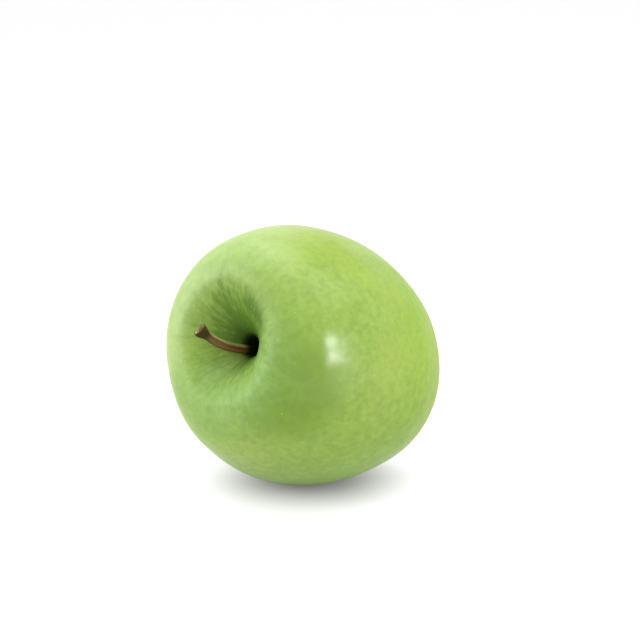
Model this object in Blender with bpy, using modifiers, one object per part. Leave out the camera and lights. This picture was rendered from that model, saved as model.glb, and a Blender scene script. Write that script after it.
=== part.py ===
# A green apple lying on its side: the fruit, its woody stem, and the dried sepals and stamens
# in the basin at the blossom end.
#
# Every piece is drawn in the apple's own frame, with the core on Z, the stem up and the widest
# ring at height 0. An empty then tips that frame over, into the pose in which the apple rests
# on a small flat spot. The middle of that spot is the origin.

import math
import random

import bmesh
import bpy
from mathutils import Matrix, Vector

# Driving dimensions of the fruit, in metres
DIAMETER = 0.076
SHOULDER_HEIGHT = 0.0340  # widest ring up to the rim of the stem cavity
CROWN_DEPTH = 0.0379  # widest ring down to the rim of the calyx basin
CAVITY_DEPTH = 0.0175
RIM_RADIUS = 0.019
CROWN_RADIUS = 0.0150
BASIN_DEPTH = 0.0080

# How the fruit departs from a turned shape: lobes round it, share of the radius, degrees
SWELLS = [(2, 0.0180, -24.5), (3, 0.0075, -1.3), (4, 0.0104, -20.7), (5, 0.0047, -34.6)]
HIGH_SHOULDER = 0.0019
HIGH_SHOULDER_TOWARDS = 39.5
CARPELS = 5
CROWN_KNOB = 0.0007
CROWN_KNOB_TOWARDS = 20.0
CAVITY_FOLD = 0.0003
CAVITY_FOLD_TOWARDS = 135.0

# Resting pose
STEM_RISE = 18.3  # degrees from level up to the core line, at the stem end
FLAT_SPOT_DEPTH = 0.0005

# Stem, which leans one way at its foot and curls the other way at its cut end
STEM_LENGTH = 0.0278  # from the cavity's floor to the cut end, along the stem
STEM_RADIUS = 0.00118
STEM_CLUB_RADIUS = 0.00190
STEM_CLUB_LENGTH = 0.0035
STEM_FOOT_RADIUS = 0.00130
STEM_LEAN_AT_FOOT = -10.6
STEM_LEAN_AT_TIP = 35.3
STEM_TOWARDS = 121.3
STEM_CURL = 2.2  # power of the curl: larger keeps the lower part straighter
STEM_SUNK = 0.0028
STEM_POINTS = 24

# Calyx
SEPAL_LENGTH = 0.0062
SEPAL_WIDTH = 0.0020
SEPAL_THICKNESS = 0.0007
SEPAL_SUNK = 0.0010
SEPAL_SPREAD = 0.0010
SEPAL_CLOSE = 0.0008
SEPAL_RECURVE = 0.0012
SEPAL_ROWS = 8
SEPAL_SIDES = 8
RING_OUTER = 0.0029
RING_INNER = 0.0021
RING_HEIGHT = 0.0022
STAMEN_CORE_RADIUS = 0.00145
STAMEN_CORE_RISE = 0.0004
STAMENS = 12
STAMEN_FOOT = 0.00105  # distance from the core line
STAMEN_LENGTH = 0.0034
STAMEN_RADIUS = 0.00024
STAMEN_TIP_RADIUS = 0.00031
STAMEN_SPREAD = (4, 13)  # degrees away from the core line
STAMEN_SEED = 7
STYLES = 5
STYLE_FOOT = 0.0004
STYLE_LENGTH = 0.0027
STYLE_SPREAD = 5

# Meshing and clearance
GAP = 0.0003
FRUIT_STEPS = 68
PROFILE_RESOLUTION = 4
WELD = 0.00002

STEM_HOLE_RADIUS = STEM_FOOT_RADIUS + GAP
TUBE_RADIUS = RING_OUTER + GAP
TUBE_DEPTH = 0.0026
CAVITY_FLOOR = SHOULDER_HEIGHT - CAVITY_DEPTH
BASIN_FLOOR = BASIN_DEPTH - CROWN_DEPTH


def clear_scene():
    for item in list(bpy.data.objects):
        bpy.data.objects.remove(item)


def new_collection(name):
    made = bpy.data.collections.new(name)
    bpy.context.scene.collection.children.link(made)
    return made


def new_material(name, colour, roughness):
    made = bpy.data.materials.new(name)
    made.use_nodes = True
    shader = made.node_tree.nodes["Principled BSDF"]
    shader.inputs["Base Color"].default_value = (*colour, 1.0)
    shader.inputs["Roughness"].default_value = roughness
    shader.inputs["Metallic"].default_value = 0.0
    made.diffuse_color = (*colour, 1.0)
    return made


def new_object(name, data, collection, material=None):
    made = bpy.data.objects.new(name, data)
    collection.objects.link(made)
    if material:
        data.materials.append(material)
    return made


def object_from(shape, name, collection):
    """Turns a bmesh into a new object, and frees it."""
    data = bpy.data.meshes.new(name)
    shape.to_mesh(data)
    shape.free()
    return new_object(name, data, collection)


def evaluated_mesh(item):
    """The object's mesh with its modifiers, in its own frame."""
    bpy.context.view_layer.update()
    graph = bpy.context.evaluated_depsgraph_get()
    return bpy.data.meshes.new_from_object(item.evaluated_get(graph))


def take_apart(item):
    """Removes a construction object and leaves what was made from it."""
    bpy.data.objects.remove(item)


def ease(value, start, end):
    """0 at start and before, 1 at end and after, smooth between."""
    share = min(1.0, max(0.0, (value - start) / (end - start)))
    return share * share * (3 - 2 * share)


def bump(value, centre, width):
    return math.exp(-(((value - centre) / width) ** 2))


def add_boolean(item, other, operation):
    cut = item.modifiers.new(operation.lower() + "_" + other.name, "BOOLEAN")
    cut.operation = operation
    cut.solver = "EXACT"
    cut.object = other
    return cut


def as_cutter(item):
    item.hide_render = True
    item.display_type = "WIRE"


def add_cylinder(name, radius, bottom, top, sides, collection):
    """A closed cylinder on Z between two heights."""
    shape = bmesh.new()
    bmesh.ops.create_cone(
        shape,
        cap_ends=True,
        segments=sides,
        radius1=radius,
        radius2=radius,
        depth=top - bottom,
        matrix=Matrix.Translation((0, 0, (bottom + top) / 2)),
    )
    return object_from(shape, name, collection)


def fuse(name, pieces, collection, material):
    """Joins closed pieces into one solid with a Boolean union, then removes them."""
    first, rest = pieces[0], pieces[1:]
    others = bpy.data.collections.new(name + "_pieces")
    for piece in rest:
        others.objects.link(piece)
    union = first.modifiers.new("union", "BOOLEAN")
    union.operation = "UNION"
    union.solver = "EXACT"
    union.operand_type = "COLLECTION"
    union.collection = others
    data = evaluated_mesh(first)
    data.materials.clear()
    for piece in pieces:
        take_apart(piece)
    bpy.data.collections.remove(others)
    return new_object(name, data, collection, material)


# Fruit


def fruit_profile():
    """Half the fruit's section as (radius, height): from the cavity's floor up its steep throat
    and its dish to the shoulder, down the flank, and round the crown into the calyx basin."""
    rim, crown, widest = SHOULDER_HEIGHT, -CROWN_DEPTH, DIAMETER / 2
    return [
        (0.0, CAVITY_FLOOR),
        (0.0021, CAVITY_FLOOR + 0.0008),
        (0.0024, rim - 0.0145),
        (0.0028, rim - 0.0129),
        (0.0036, rim - 0.0113),
        (0.0073, rim - 0.0071),
        (0.0108, rim - 0.0036),
        (0.0145, rim - 0.0012),
        (RIM_RADIUS, rim),
        (0.0262, rim - 0.0026),
        (0.0332, rim * 0.62),
        (widest, 0.0),
        (0.0343, crown * 0.50),
        (0.0263, crown * 0.86),
        (CROWN_RADIUS, crown),
        (0.0098, crown + 0.0024),
        (0.0058, crown + 0.0060),
        (0.0, BASIN_FLOOR),
    ]


def profile_object(collection):
    curve = bpy.data.curves.new("fruit_profile", "CURVE")
    curve.dimensions = "3D"
    curve.resolution_u = PROFILE_RESOLUTION
    spline = curve.splines.new("BEZIER")
    points = fruit_profile()
    spline.bezier_points.add(len(points) - 1)
    for point, (radius, height) in zip(spline.bezier_points, points):
        point.co = (radius, 0, height)
        point.handle_left_type = point.handle_right_type = "AUTO"
    return new_object("fruit_profile", curve, collection)


def grown(radius, height, angle):
    """Where a point of the turned fruit lies on the real, slightly lobed one."""
    lower = ease(height, 0.012, -0.030)
    upper = 1 - lower
    swell = 1 + sum(
        share * math.cos(lobes * (angle - math.radians(towards))) for lobes, share, towards in SWELLS
    )
    tilt = HIGH_SHOULDER * radius / RIM_RADIUS * math.cos(angle - math.radians(HIGH_SHOULDER_TOWARDS))
    fold = CAVITY_FOLD * bump(radius, 0.012, 0.006) * math.cos(
        CARPELS * (angle - math.radians(CAVITY_FOLD_TOWARDS))
    )
    knob = CROWN_KNOB * bump(radius, CROWN_RADIUS, 0.006) * math.cos(
        CARPELS * (angle - math.radians(CROWN_KNOB_TOWARDS))
    )
    return Vector(
        (
            radius * swell * math.cos(angle),
            radius * swell * math.sin(angle),
            height + upper * (tilt + fold) - lower * knob,
        )
    )


def make_fruit(parts, cutters, material):
    """The turned profile, grown into lobes, with a hole for the stem and one for the calyx."""
    turned = profile_object(cutters)
    screw = turned.modifiers.new("turn", "SCREW")
    screw.axis = "Z"
    screw.steps = screw.render_steps = FRUIT_STEPS
    screw.use_merge_vertices = True
    screw.merge_threshold = WELD
    data = evaluated_mesh(turned)
    take_apart(turned)
    for vertex in data.vertices:
        x, y, height = vertex.co
        vertex.co = grown(math.hypot(x, y), height, math.atan2(y, x))
    fruit = new_object("fruit", data, parts, material)

    stem_hole = add_cylinder("stem_hole", STEM_HOLE_RADIUS, -STEM_SUNK, STEM_SUNK, 16, cutters)
    stem_hole.location = (0, 0, CAVITY_FLOOR)
    stem_hole.rotation_mode = "QUATERNION"
    stem_hole.rotation_quaternion = stem_direction(0.0).to_track_quat("Z", "Y")
    calyx_hole = add_cylinder("calyx_hole", TUBE_RADIUS, -TUBE_DEPTH, TUBE_DEPTH, 24, cutters)
    calyx_hole.location = (0, 0, BASIN_FLOOR)
    for hole in (stem_hole, calyx_hole):
        as_cutter(hole)
        add_boolean(fruit, hole, "DIFFERENCE")
    return fruit, [stem_hole, calyx_hole]


# Stem


def stem_direction(share):
    """The way the stem grows at a share of its length, leaning within one upright plane."""
    lean = math.radians(STEM_LEAN_AT_FOOT + (STEM_LEAN_AT_TIP - STEM_LEAN_AT_FOOT) * share**STEM_CURL)
    towards = math.radians(STEM_TOWARDS)
    return Vector(
        (math.sin(lean) * math.cos(towards), math.sin(lean) * math.sin(towards), math.cos(lean))
    )


def stem_path():
    """Points up the middle of the stem, with the distance of each from the cavity's floor: the
    stem is straight in its hole and curls above it."""
    buried = STEM_SUNK - GAP
    step = (STEM_LENGTH + buried) / STEM_POINTS
    place = Vector((0, 0, CAVITY_FLOOR)) - stem_direction(0.0) * buried
    points = [(place, -buried)]
    for index in range(STEM_POINTS):
        halfway = (index + 0.5) * step - buried
        place = place + stem_direction(max(0.0, halfway / STEM_LENGTH)) * step
        points.append((place, (index + 1) * step - buried))
    return points


def stem_radius(distance):
    """A foot a little wider than the stalk, and the club where it broke from the spur."""
    foot = (STEM_FOOT_RADIUS - STEM_RADIUS) * ease(distance, STEM_LENGTH / 4, 0.0)
    club_start = STEM_LENGTH - STEM_CLUB_LENGTH
    club = (STEM_CLUB_RADIUS - STEM_RADIUS) * ease(distance, club_start, STEM_LENGTH)
    return STEM_RADIUS + foot + club


def make_stem(parts, material):
    curve = bpy.data.curves.new("stem", "CURVE")
    curve.dimensions = "3D"
    curve.bevel_depth = STEM_RADIUS
    curve.bevel_resolution = 4
    curve.use_fill_caps = True
    spline = curve.splines.new("POLY")
    points = stem_path()
    spline.points.add(len(points) - 1)
    for point, (place, distance) in zip(spline.points, points):
        point.co = (*place, 1.0)
        point.radius = stem_radius(distance) / STEM_RADIUS
    return new_object("stem", curve, parts, material)


# Calyx: in these pieces "out" is the distance from the basin floor towards the open air


def calyx_point(radius, angle, out):
    return Vector((radius * math.cos(angle), radius * math.sin(angle), BASIN_FLOOR - out))


def sepal_line(share):
    """Distance from the core line and distance out, along a sepal's middle: it stands up from
    the ring, closes in over the stamens, and turns back at its dry tip."""
    radius = (RING_OUTER + RING_INNER) / 2 + SEPAL_SPREAD * ease(share, 0.2, 0.5)
    radius += SEPAL_RECURVE * ease(share, 0.7, 1.0) - SEPAL_CLOSE * ease(share, 0.45, 0.75)
    return radius, SEPAL_LENGTH * share * (1 - 0.12 * share) - SEPAL_SUNK


def make_sepal(index, collection):
    """One pointed sepal: flat oval sections, set one after another along its middle line."""
    shape = bmesh.new()
    middle = 2 * math.pi * index / CARPELS + math.radians(CROWN_KNOB_TOWARDS)
    rings = []
    for row in range(SEPAL_ROWS):
        share = row / (SEPAL_ROWS - 1)
        radius, out = sepal_line(share)
        half_width = SEPAL_WIDTH / 2 * (1 - share**1.8) + SEPAL_THICKNESS / 2
        ring = []
        for corner in range(SEPAL_SIDES):
            turn = 2 * math.pi * corner / SEPAL_SIDES
            sideways = half_width * math.cos(turn)
            through = SEPAL_THICKNESS * 0.55 * math.sin(turn)
            ring.append(shape.verts.new(calyx_point(radius + through, middle + sideways / radius, out)))
        rings.append(ring)
    for lower, upper in zip(rings, rings[1:]):
        for corner in range(SEPAL_SIDES):
            following = (corner + 1) % SEPAL_SIDES
            shape.faces.new((lower[corner], lower[following], upper[following], upper[corner]))
    shape.faces.new(rings[0])
    shape.faces.new(rings[-1])
    bmesh.ops.recalc_face_normals(shape, faces=shape.faces)
    return object_from(shape, "sepal_%d" % index, collection)


def make_sepals(parts, cutters, material):
    """Five sepals, fused to the short ring that they grow from."""
    ring_outline = bpy.data.meshes.new("ring_outline")
    foot = BASIN_FLOOR + TUBE_DEPTH - GAP
    corners = [
        (RING_OUTER, 0, foot),
        (RING_OUTER, 0, foot - RING_HEIGHT),
        (RING_INNER, 0, foot - RING_HEIGHT),
        (RING_INNER, 0, foot),
    ]
    ring_outline.from_pydata(corners, [(0, 1), (1, 2), (2, 3), (3, 0)], [])
    outline = new_object("ring_outline", ring_outline, cutters)
    screw = outline.modifiers.new("turn", "SCREW")
    screw.axis = "Z"
    screw.steps = screw.render_steps = 30
    screw.use_merge_vertices = True
    screw.merge_threshold = WELD
    ring = new_object("sepal_ring", evaluated_mesh(outline), cutters)
    take_apart(outline)
    pieces = [ring] + [make_sepal(index, cutters) for index in range(CARPELS)]
    return fuse("calyx_sepals", pieces, parts, material)


def make_thread(name, angle, spread, foot, length, collection):
    """One dry stamen or style: a thin stick, wider at its tip, that leans away from the core line."""
    shape = bmesh.new()
    bmesh.ops.create_cone(
        shape,
        cap_ends=True,
        segments=5,
        radius1=STAMEN_RADIUS,
        radius2=STAMEN_TIP_RADIUS,
        depth=length,
        matrix=Matrix.Translation((0, 0, length / 2)),
    )
    sideways = math.sin(spread)
    outward = Vector((sideways * math.cos(angle), sideways * math.sin(angle), -math.cos(spread)))
    turn = outward.to_track_quat("Z", "Y").to_matrix().to_4x4()
    shape.transform(Matrix.Translation(calyx_point(foot, angle, 0.0)) @ turn)
    return object_from(shape, name, collection)


def make_stamens(parts, cutters, material):
    """A tuft of dry stamens round five styles, on a small core at the bottom of the calyx tube."""
    chance = random.Random(STAMEN_SEED)
    core_foot = BASIN_FLOOR + TUBE_DEPTH - GAP
    core_top = BASIN_FLOOR - STAMEN_CORE_RISE
    pieces = [add_cylinder("stamen_core", STAMEN_CORE_RADIUS, core_top, core_foot, 20, cutters)]
    for index in range(STAMENS):
        angle = 2 * math.pi * (index + chance.uniform(-0.2, 0.2)) / STAMENS
        spread = math.radians(chance.uniform(*STAMEN_SPREAD))
        length = STAMEN_LENGTH * chance.uniform(0.75, 1.0)
        name = "stamen_%d" % index
        pieces.append(make_thread(name, angle, spread, STAMEN_FOOT, length, cutters))
    for index in range(STYLES):
        angle = 2 * math.pi * (index + 0.5) / STYLES
        spread = math.radians(STYLE_SPREAD)
        name = "style_%d" % index
        pieces.append(make_thread(name, angle, spread, STYLE_FOOT, STYLE_LENGTH, cutters))
    return fuse("calyx_stamens", pieces, parts, material)


# Resting pose


def lay_down(fruit, followers, cutters):
    """Tips the apple over, sinks it by the depth of the flat spot, cuts the spot, and moves the
    apple so that the middle of the spot is the origin."""
    pose = bpy.data.objects.new("resting_pose", None)
    bpy.context.scene.collection.objects.link(pose)
    pose.rotation_euler = (math.radians(90 - STEM_RISE), 0, 0)
    for item in [fruit, *followers]:
        item.parent = pose
    bpy.context.view_layer.update()
    lowest = min((fruit.matrix_world @ vertex.co).z for vertex in fruit.data.vertices)
    pose.location.z = -lowest - FLAT_SPOT_DEPTH

    shape = bmesh.new()
    block = DIAMETER * 2
    bmesh.ops.create_cube(shape, size=block, matrix=Matrix.Translation((0, 0, -block / 2)))
    surface = object_from(shape, "surface", cutters)
    as_cutter(surface)
    add_boolean(fruit, surface, "DIFFERENCE")

    cut = evaluated_mesh(fruit)
    place = fruit.matrix_world
    flat = [face for face in cut.polygons if (place.to_3x3() @ face.normal).z < -0.999]
    spot = [face for face in flat if abs((place @ face.center).z) < WELD]
    area = sum(face.area for face in spot)
    middle = sum(((place @ face.center) * face.area for face in spot), Vector()) / area
    pose.location.x -= middle.x
    pose.location.y -= middle.y
    bpy.data.meshes.remove(cut)
    return pose


def main():
    clear_scene()
    parts = new_collection("green_apple")
    cutters = new_collection("cutters")
    skin = new_material("apple_skin", (0.36, 0.58, 0.11), 0.38)
    bark = new_material("stem_bark", (0.19, 0.10, 0.05), 0.75)
    dry_leaf = new_material("dry_sepal", (0.22, 0.20, 0.10), 0.85)
    dry_thread = new_material("dry_stamen", (0.08, 0.05, 0.03), 0.85)

    fruit, holes = make_fruit(parts, cutters, skin)
    stem = make_stem(parts, bark)
    sepals = make_sepals(parts, cutters, dry_leaf)
    stamens = make_stamens(parts, cutters, dry_thread)
    lay_down(fruit, [*holes, stem, sepals, stamens], cutters)
    for item in (fruit, sepals, stamens):
        item.data.shade_smooth()
        item.data.set_sharp_from_angle(angle=math.radians(40))


main()
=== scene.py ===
import math

import bpy
import numpy as np
from mathutils import Matrix, Vector


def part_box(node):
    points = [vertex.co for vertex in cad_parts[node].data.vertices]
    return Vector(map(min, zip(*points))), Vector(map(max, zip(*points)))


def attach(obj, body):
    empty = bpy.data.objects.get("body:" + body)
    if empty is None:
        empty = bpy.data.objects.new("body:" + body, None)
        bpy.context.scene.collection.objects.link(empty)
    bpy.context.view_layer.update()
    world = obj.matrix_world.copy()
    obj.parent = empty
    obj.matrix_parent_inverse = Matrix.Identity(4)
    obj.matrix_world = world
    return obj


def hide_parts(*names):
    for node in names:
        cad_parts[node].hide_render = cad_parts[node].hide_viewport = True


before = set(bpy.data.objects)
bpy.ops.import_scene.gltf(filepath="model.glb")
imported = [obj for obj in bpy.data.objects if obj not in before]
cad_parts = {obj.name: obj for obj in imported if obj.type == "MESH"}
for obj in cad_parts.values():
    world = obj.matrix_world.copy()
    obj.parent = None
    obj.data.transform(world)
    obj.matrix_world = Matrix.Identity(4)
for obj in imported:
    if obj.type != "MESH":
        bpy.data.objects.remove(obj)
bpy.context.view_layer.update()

scene = bpy.context.scene
mm = 0.001
print("frame loaded:", ", ".join(sorted(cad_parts)))

# The apple is grown in its own frame: core on Z, stem up, widest ring at height 0.
# The last step of each piece tips that frame into the resting pose.


# Writing node trees

class Wire:  # one output of a node, that can be used in a formula
    def __init__(self, tree, socket):
        self.tree = tree
        self.socket = socket

    def calc(self, operation, *others):
        return calc(self.tree, operation, self, *others)

    def __add__(self, other):
        return self.calc("ADD", other)

    def __mul__(self, other):
        return self.calc("MULTIPLY", other)

    def __sub__(self, other):
        return self.calc("SUBTRACT", other)

    def __truediv__(self, other):
        return self.calc("DIVIDE", other)

    def __rsub__(self, other):
        return calc(self.tree, "SUBTRACT", other, self)

    __radd__ = __add__
    __rmul__ = __mul__


def plug(tree, socket, value):  # links a wire, and sets anything else as the socket's own value
    if isinstance(value, Wire):
        tree.links.new(value.socket, socket)
    else:
        socket.default_value = value


def openSocket(sockets, name):
    if isinstance(name, int):
        return sockets[name]
    return next(socket for socket in sockets if socket.name == name and socket.enabled)


def addNode(tree, kind, feeds, **settings):
    node = tree.nodes.new(kind)
    for name, value in settings.items():
        setattr(node, name, value)
    for name, value in feeds.items():
        plug(tree, openSocket(node.inputs, name), value)
    return node


def wireFrom(tree, kind, output, feeds, **settings):
    return Wire(tree, openSocket(addNode(tree, kind, feeds, **settings).outputs, output))


def calc(tree, operation, *values):
    return wireFrom(tree, "ShaderNodeMath", 0, dict(enumerate(values)), operation=operation)


def calcVector(tree, operation, *values):
    return wireFrom(tree, "ShaderNodeVectorMath", "Vector", dict(enumerate(values)), operation=operation)


def scaled(tree, vector, amount):
    feeds = {0: vector, "Scale": amount}
    return wireFrom(tree, "ShaderNodeVectorMath", "Vector", feeds, operation="SCALE")


def dot(tree, first, second):
    feeds = {0: first, 1: second}
    return wireFrom(tree, "ShaderNodeVectorMath", "Value", feeds, operation="DOT_PRODUCT")


def ramp(tree, value, start, end, low=0.0, high=1.0):  # smooth from low at start to high at end
    feeds = {"Value": value, "From Min": start, "From Max": end, "To Min": low, "To Max": high}
    return wireFrom(tree, "ShaderNodeMapRange", "Result", feeds, interpolation_type="SMOOTHSTEP")


def bell(tree, value, centre, width):  # 1 at the centre, fading over the width to both sides
    offset = (value - centre) / width
    return calc(tree, "EXPONENT", offset * offset * -1)


def split(tree, vector):
    node = addNode(tree, "ShaderNodeSeparateXYZ", {0: vector})
    return [Wire(tree, output) for output in node.outputs]


def combine(tree, x, y, z):
    return wireFrom(tree, "ShaderNodeCombineXYZ", "Vector", {0: x, 1: y, 2: z})


def noise(tree, place, scale, detail=2.0, roughness=0.5, distortion=0.0):
    feeds = {"Vector": place, "Scale": scale, "Detail": detail, "Roughness": roughness,
             "Distortion": distortion}
    return wireFrom(tree, "ShaderNodeTexNoise", 0, feeds)


# Geometry trees

socketKinds = {int: "NodeSocketInt", float: "NodeSocketFloat", bpy.types.Material: "NodeSocketMaterial",
               bpy.types.Object: "NodeSocketObject"}


def newTree(name, inputs):  # inputs: name to starting value
    tree = bpy.data.node_groups.new(name, "GeometryNodeTree")
    for label, value in inputs.items():
        socket = tree.interface.new_socket(label, in_out="INPUT", socket_type=socketKinds[type(value)])
        if isinstance(value, (int, float)):
            socket.default_value = value
    tree.interface.new_socket("Geometry", in_out="OUTPUT", socket_type="NodeSocketGeometry")
    entry = tree.nodes.new("NodeGroupInput")
    given = {label: Wire(tree, entry.outputs[label]) for label in inputs}
    return tree, given


def moveTo(tree, geometry, position):
    return wireFrom(tree, "GeometryNodeSetPosition", 0, {"Geometry": geometry, "Position": position})


def nudge(tree, geometry, offset):
    return wireFrom(tree, "GeometryNodeSetPosition", 0, {"Geometry": geometry, "Offset": offset})


def keepAttribute(tree, geometry, name, kind, value):
    feeds = {"Geometry": geometry, "Name": name, "Value": value}
    return wireFrom(tree, "GeometryNodeStoreNamedAttribute", 0, feeds, data_type=kind, domain="POINT")


def position(tree):
    return wireFrom(tree, "GeometryNodeInputPosition", 0, {})


def normal(tree):
    return wireFrom(tree, "GeometryNodeInputNormal", "Normal", {})


def tube(tree, columns, rows):  # an upright unit tube with closed ends, and where its points lie
    feeds = {"Vertices": columns, "Side Segments": rows, "Fill Segments": 1,
             "Radius": 1.0, "Depth": 2.0}
    shell = wireFrom(tree, "GeometryNodeMeshCylinder", "Mesh", feeds, fill_type="TRIANGLE_FAN")
    x, y, z = split(tree, position(tree))
    angle = calc(tree, "ARCTAN2", y, x)
    fromAxis = calc(tree, "SQRT", x * x + y * y)  # 1 on the tube, 0 at the two poles
    return shell, angle, fromAxis, z


def endTree(tree, geometry, material):
    real = wireFrom(tree, "GeometryNodeRealizeInstances", 0, {"Geometry": geometry})
    painted = wireFrom(tree, "GeometryNodeSetMaterial", 0, {"Geometry": real, "Material": material})
    out = tree.nodes.new("NodeGroupOutput")
    tree.links.new(painted.socket, out.inputs[0])


def newObject(name, data):
    made = bpy.data.objects.new(name, data)
    scene.collection.objects.link(made)
    return made


def growPiece(name, tree, values):  # runs the tree on an empty mesh and keeps what it makes
    piece = newObject(name, bpy.data.meshes.new(name))
    modifier = piece.modifiers.new("grow", "NODES")
    modifier.node_group = tree
    for socket in tree.interface.items_tree:
        if socket.in_out == "INPUT" and socket.name in values:
            modifier[socket.identifier] = values[socket.name]
    graph = bpy.context.evaluated_depsgraph_get()
    grown = bpy.data.meshes.new_from_object(piece.evaluated_get(graph), depsgraph=graph)
    piece.modifiers.remove(modifier)
    piece.data = grown
    grown.shade_smooth()
    return piece


def finishPiece(piece, node):
    piece.data.transform(pose)
    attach(piece, "root")
    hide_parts(node)
    print(piece.name, "stands for", node, "with", len(piece.data.polygons), "faces")


# Apple skin

skinLook = {
    "paleGreen": (0.290, 0.412, 0.084, 1),
    "deepGreen": (0.205, 0.330, 0.050, 1),
    "yellowGreen": (0.345, 0.440, 0.082, 1),
    # painted reflection: pale sheen where the skin mirrors the broad light at the upper left
    "paintedSheenGreen": (0.455, 0.615, 0.285, 1),
    "flankGreen": (0.265, 0.415, 0.036, 1),
    # painted shade: darker olive on the front of the shoulder, where little light falls
    "paintedShadeOlivePatch": (0.165, 0.275, 0.024, 1),
    # painted shade: darker green on the side that faces the floor
    "paintedShadeGreen": (0.170, 0.290, 0.030, 1),
    # painted reflection: pale bluish green where the cavity's rim mirrors the light from the left
    "paintedReflectGreen": (0.256, 0.444, 0.142, 1),
    # the cavity's deeper green, partly the skin's own colour and partly painted shade of the hollow
    "cavityGreenAndShade": (0.122, 0.235, 0.024, 1),
    # painted shade: near black in the narrow throat of the cavity
    "paintedThroatShadeGreen": (0.012, 0.020, 0.006, 1),
    "streakGreen": (0.115, 0.240, 0.034, 1),
    # painted shade: dark green in the cavity's fold and round the hole
    "paintedCreaseShadeGreen": (0.050, 0.120, 0.012, 1),
    "paleStreak": (0.450, 0.580, 0.190, 1),
    "dotColour": (0.540, 0.680, 0.240, 1),
    "patchSize": 26 * mm,
    "mottleSize": 2.0 * mm,
    "strokeSize": 4.5 * mm,
    "dotSpacing": 2.9 * mm,
    "dotRadius": 0.21 * mm,
    "cavityReach": 13 * mm,
    "greenSide": 4.5 * mm,  # the deep green and painted shade of the cavity reach further on one side
    "greenTowards": 74,
    "paintedCreaseShadeTowards": 45,
    "paintedReflectTowards": -58,
    "paintedSheenTowards": (-0.43, 0.36, 0.83),
    "paintedShadePatchTowards": (0.575, -0.240, 0.780),
    "shadeTowards": (0.49, -0.82, -0.30),
    "dullTowards": (0.77, 0.20, -0.61),  # less wax on this side
    "rubbedTowards": (0.77, 0.05, 0.64),  # more gloss round this spot
    "streakReach": 27 * mm,
    "roughness": 0.45,
    "glossSize": 5 * mm,  # of the duller and shinier patches
    "grainSize": 0.7 * mm,
    "grainHeight": 0.12 * mm,
    "wax": 0.36,
    "cavityWax": 0.08,
    "rubbedWax": 0.75,
    "waxRoughness": 0.19,
    "fleshGlow": 0.14,  # light that passes under the skin
    "fleshReach": 2.5 * mm,
}


def newMaterial(name):
    material = bpy.data.materials.new(name)
    material.use_nodes = True
    tree = material.node_tree
    return material, tree, tree.nodes["Principled BSDF"]


def blend(tree, share, first, second, mode="MIX"):
    feeds = {"Factor": share, "A": first, "B": second}
    return wireFrom(tree, "ShaderNodeMix", "Result", feeds, data_type="RGBA", blend_type=mode)


def attributeWire(tree, name, output="Vector"):
    return wireFrom(tree, "ShaderNodeAttribute", output, {}, attribute_name=name)


def facing(tree, place, towards):  # 1 on the side of the fruit that looks that way
    return dot(tree, calcVector(tree, "NORMALIZE", place), towards)


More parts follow.
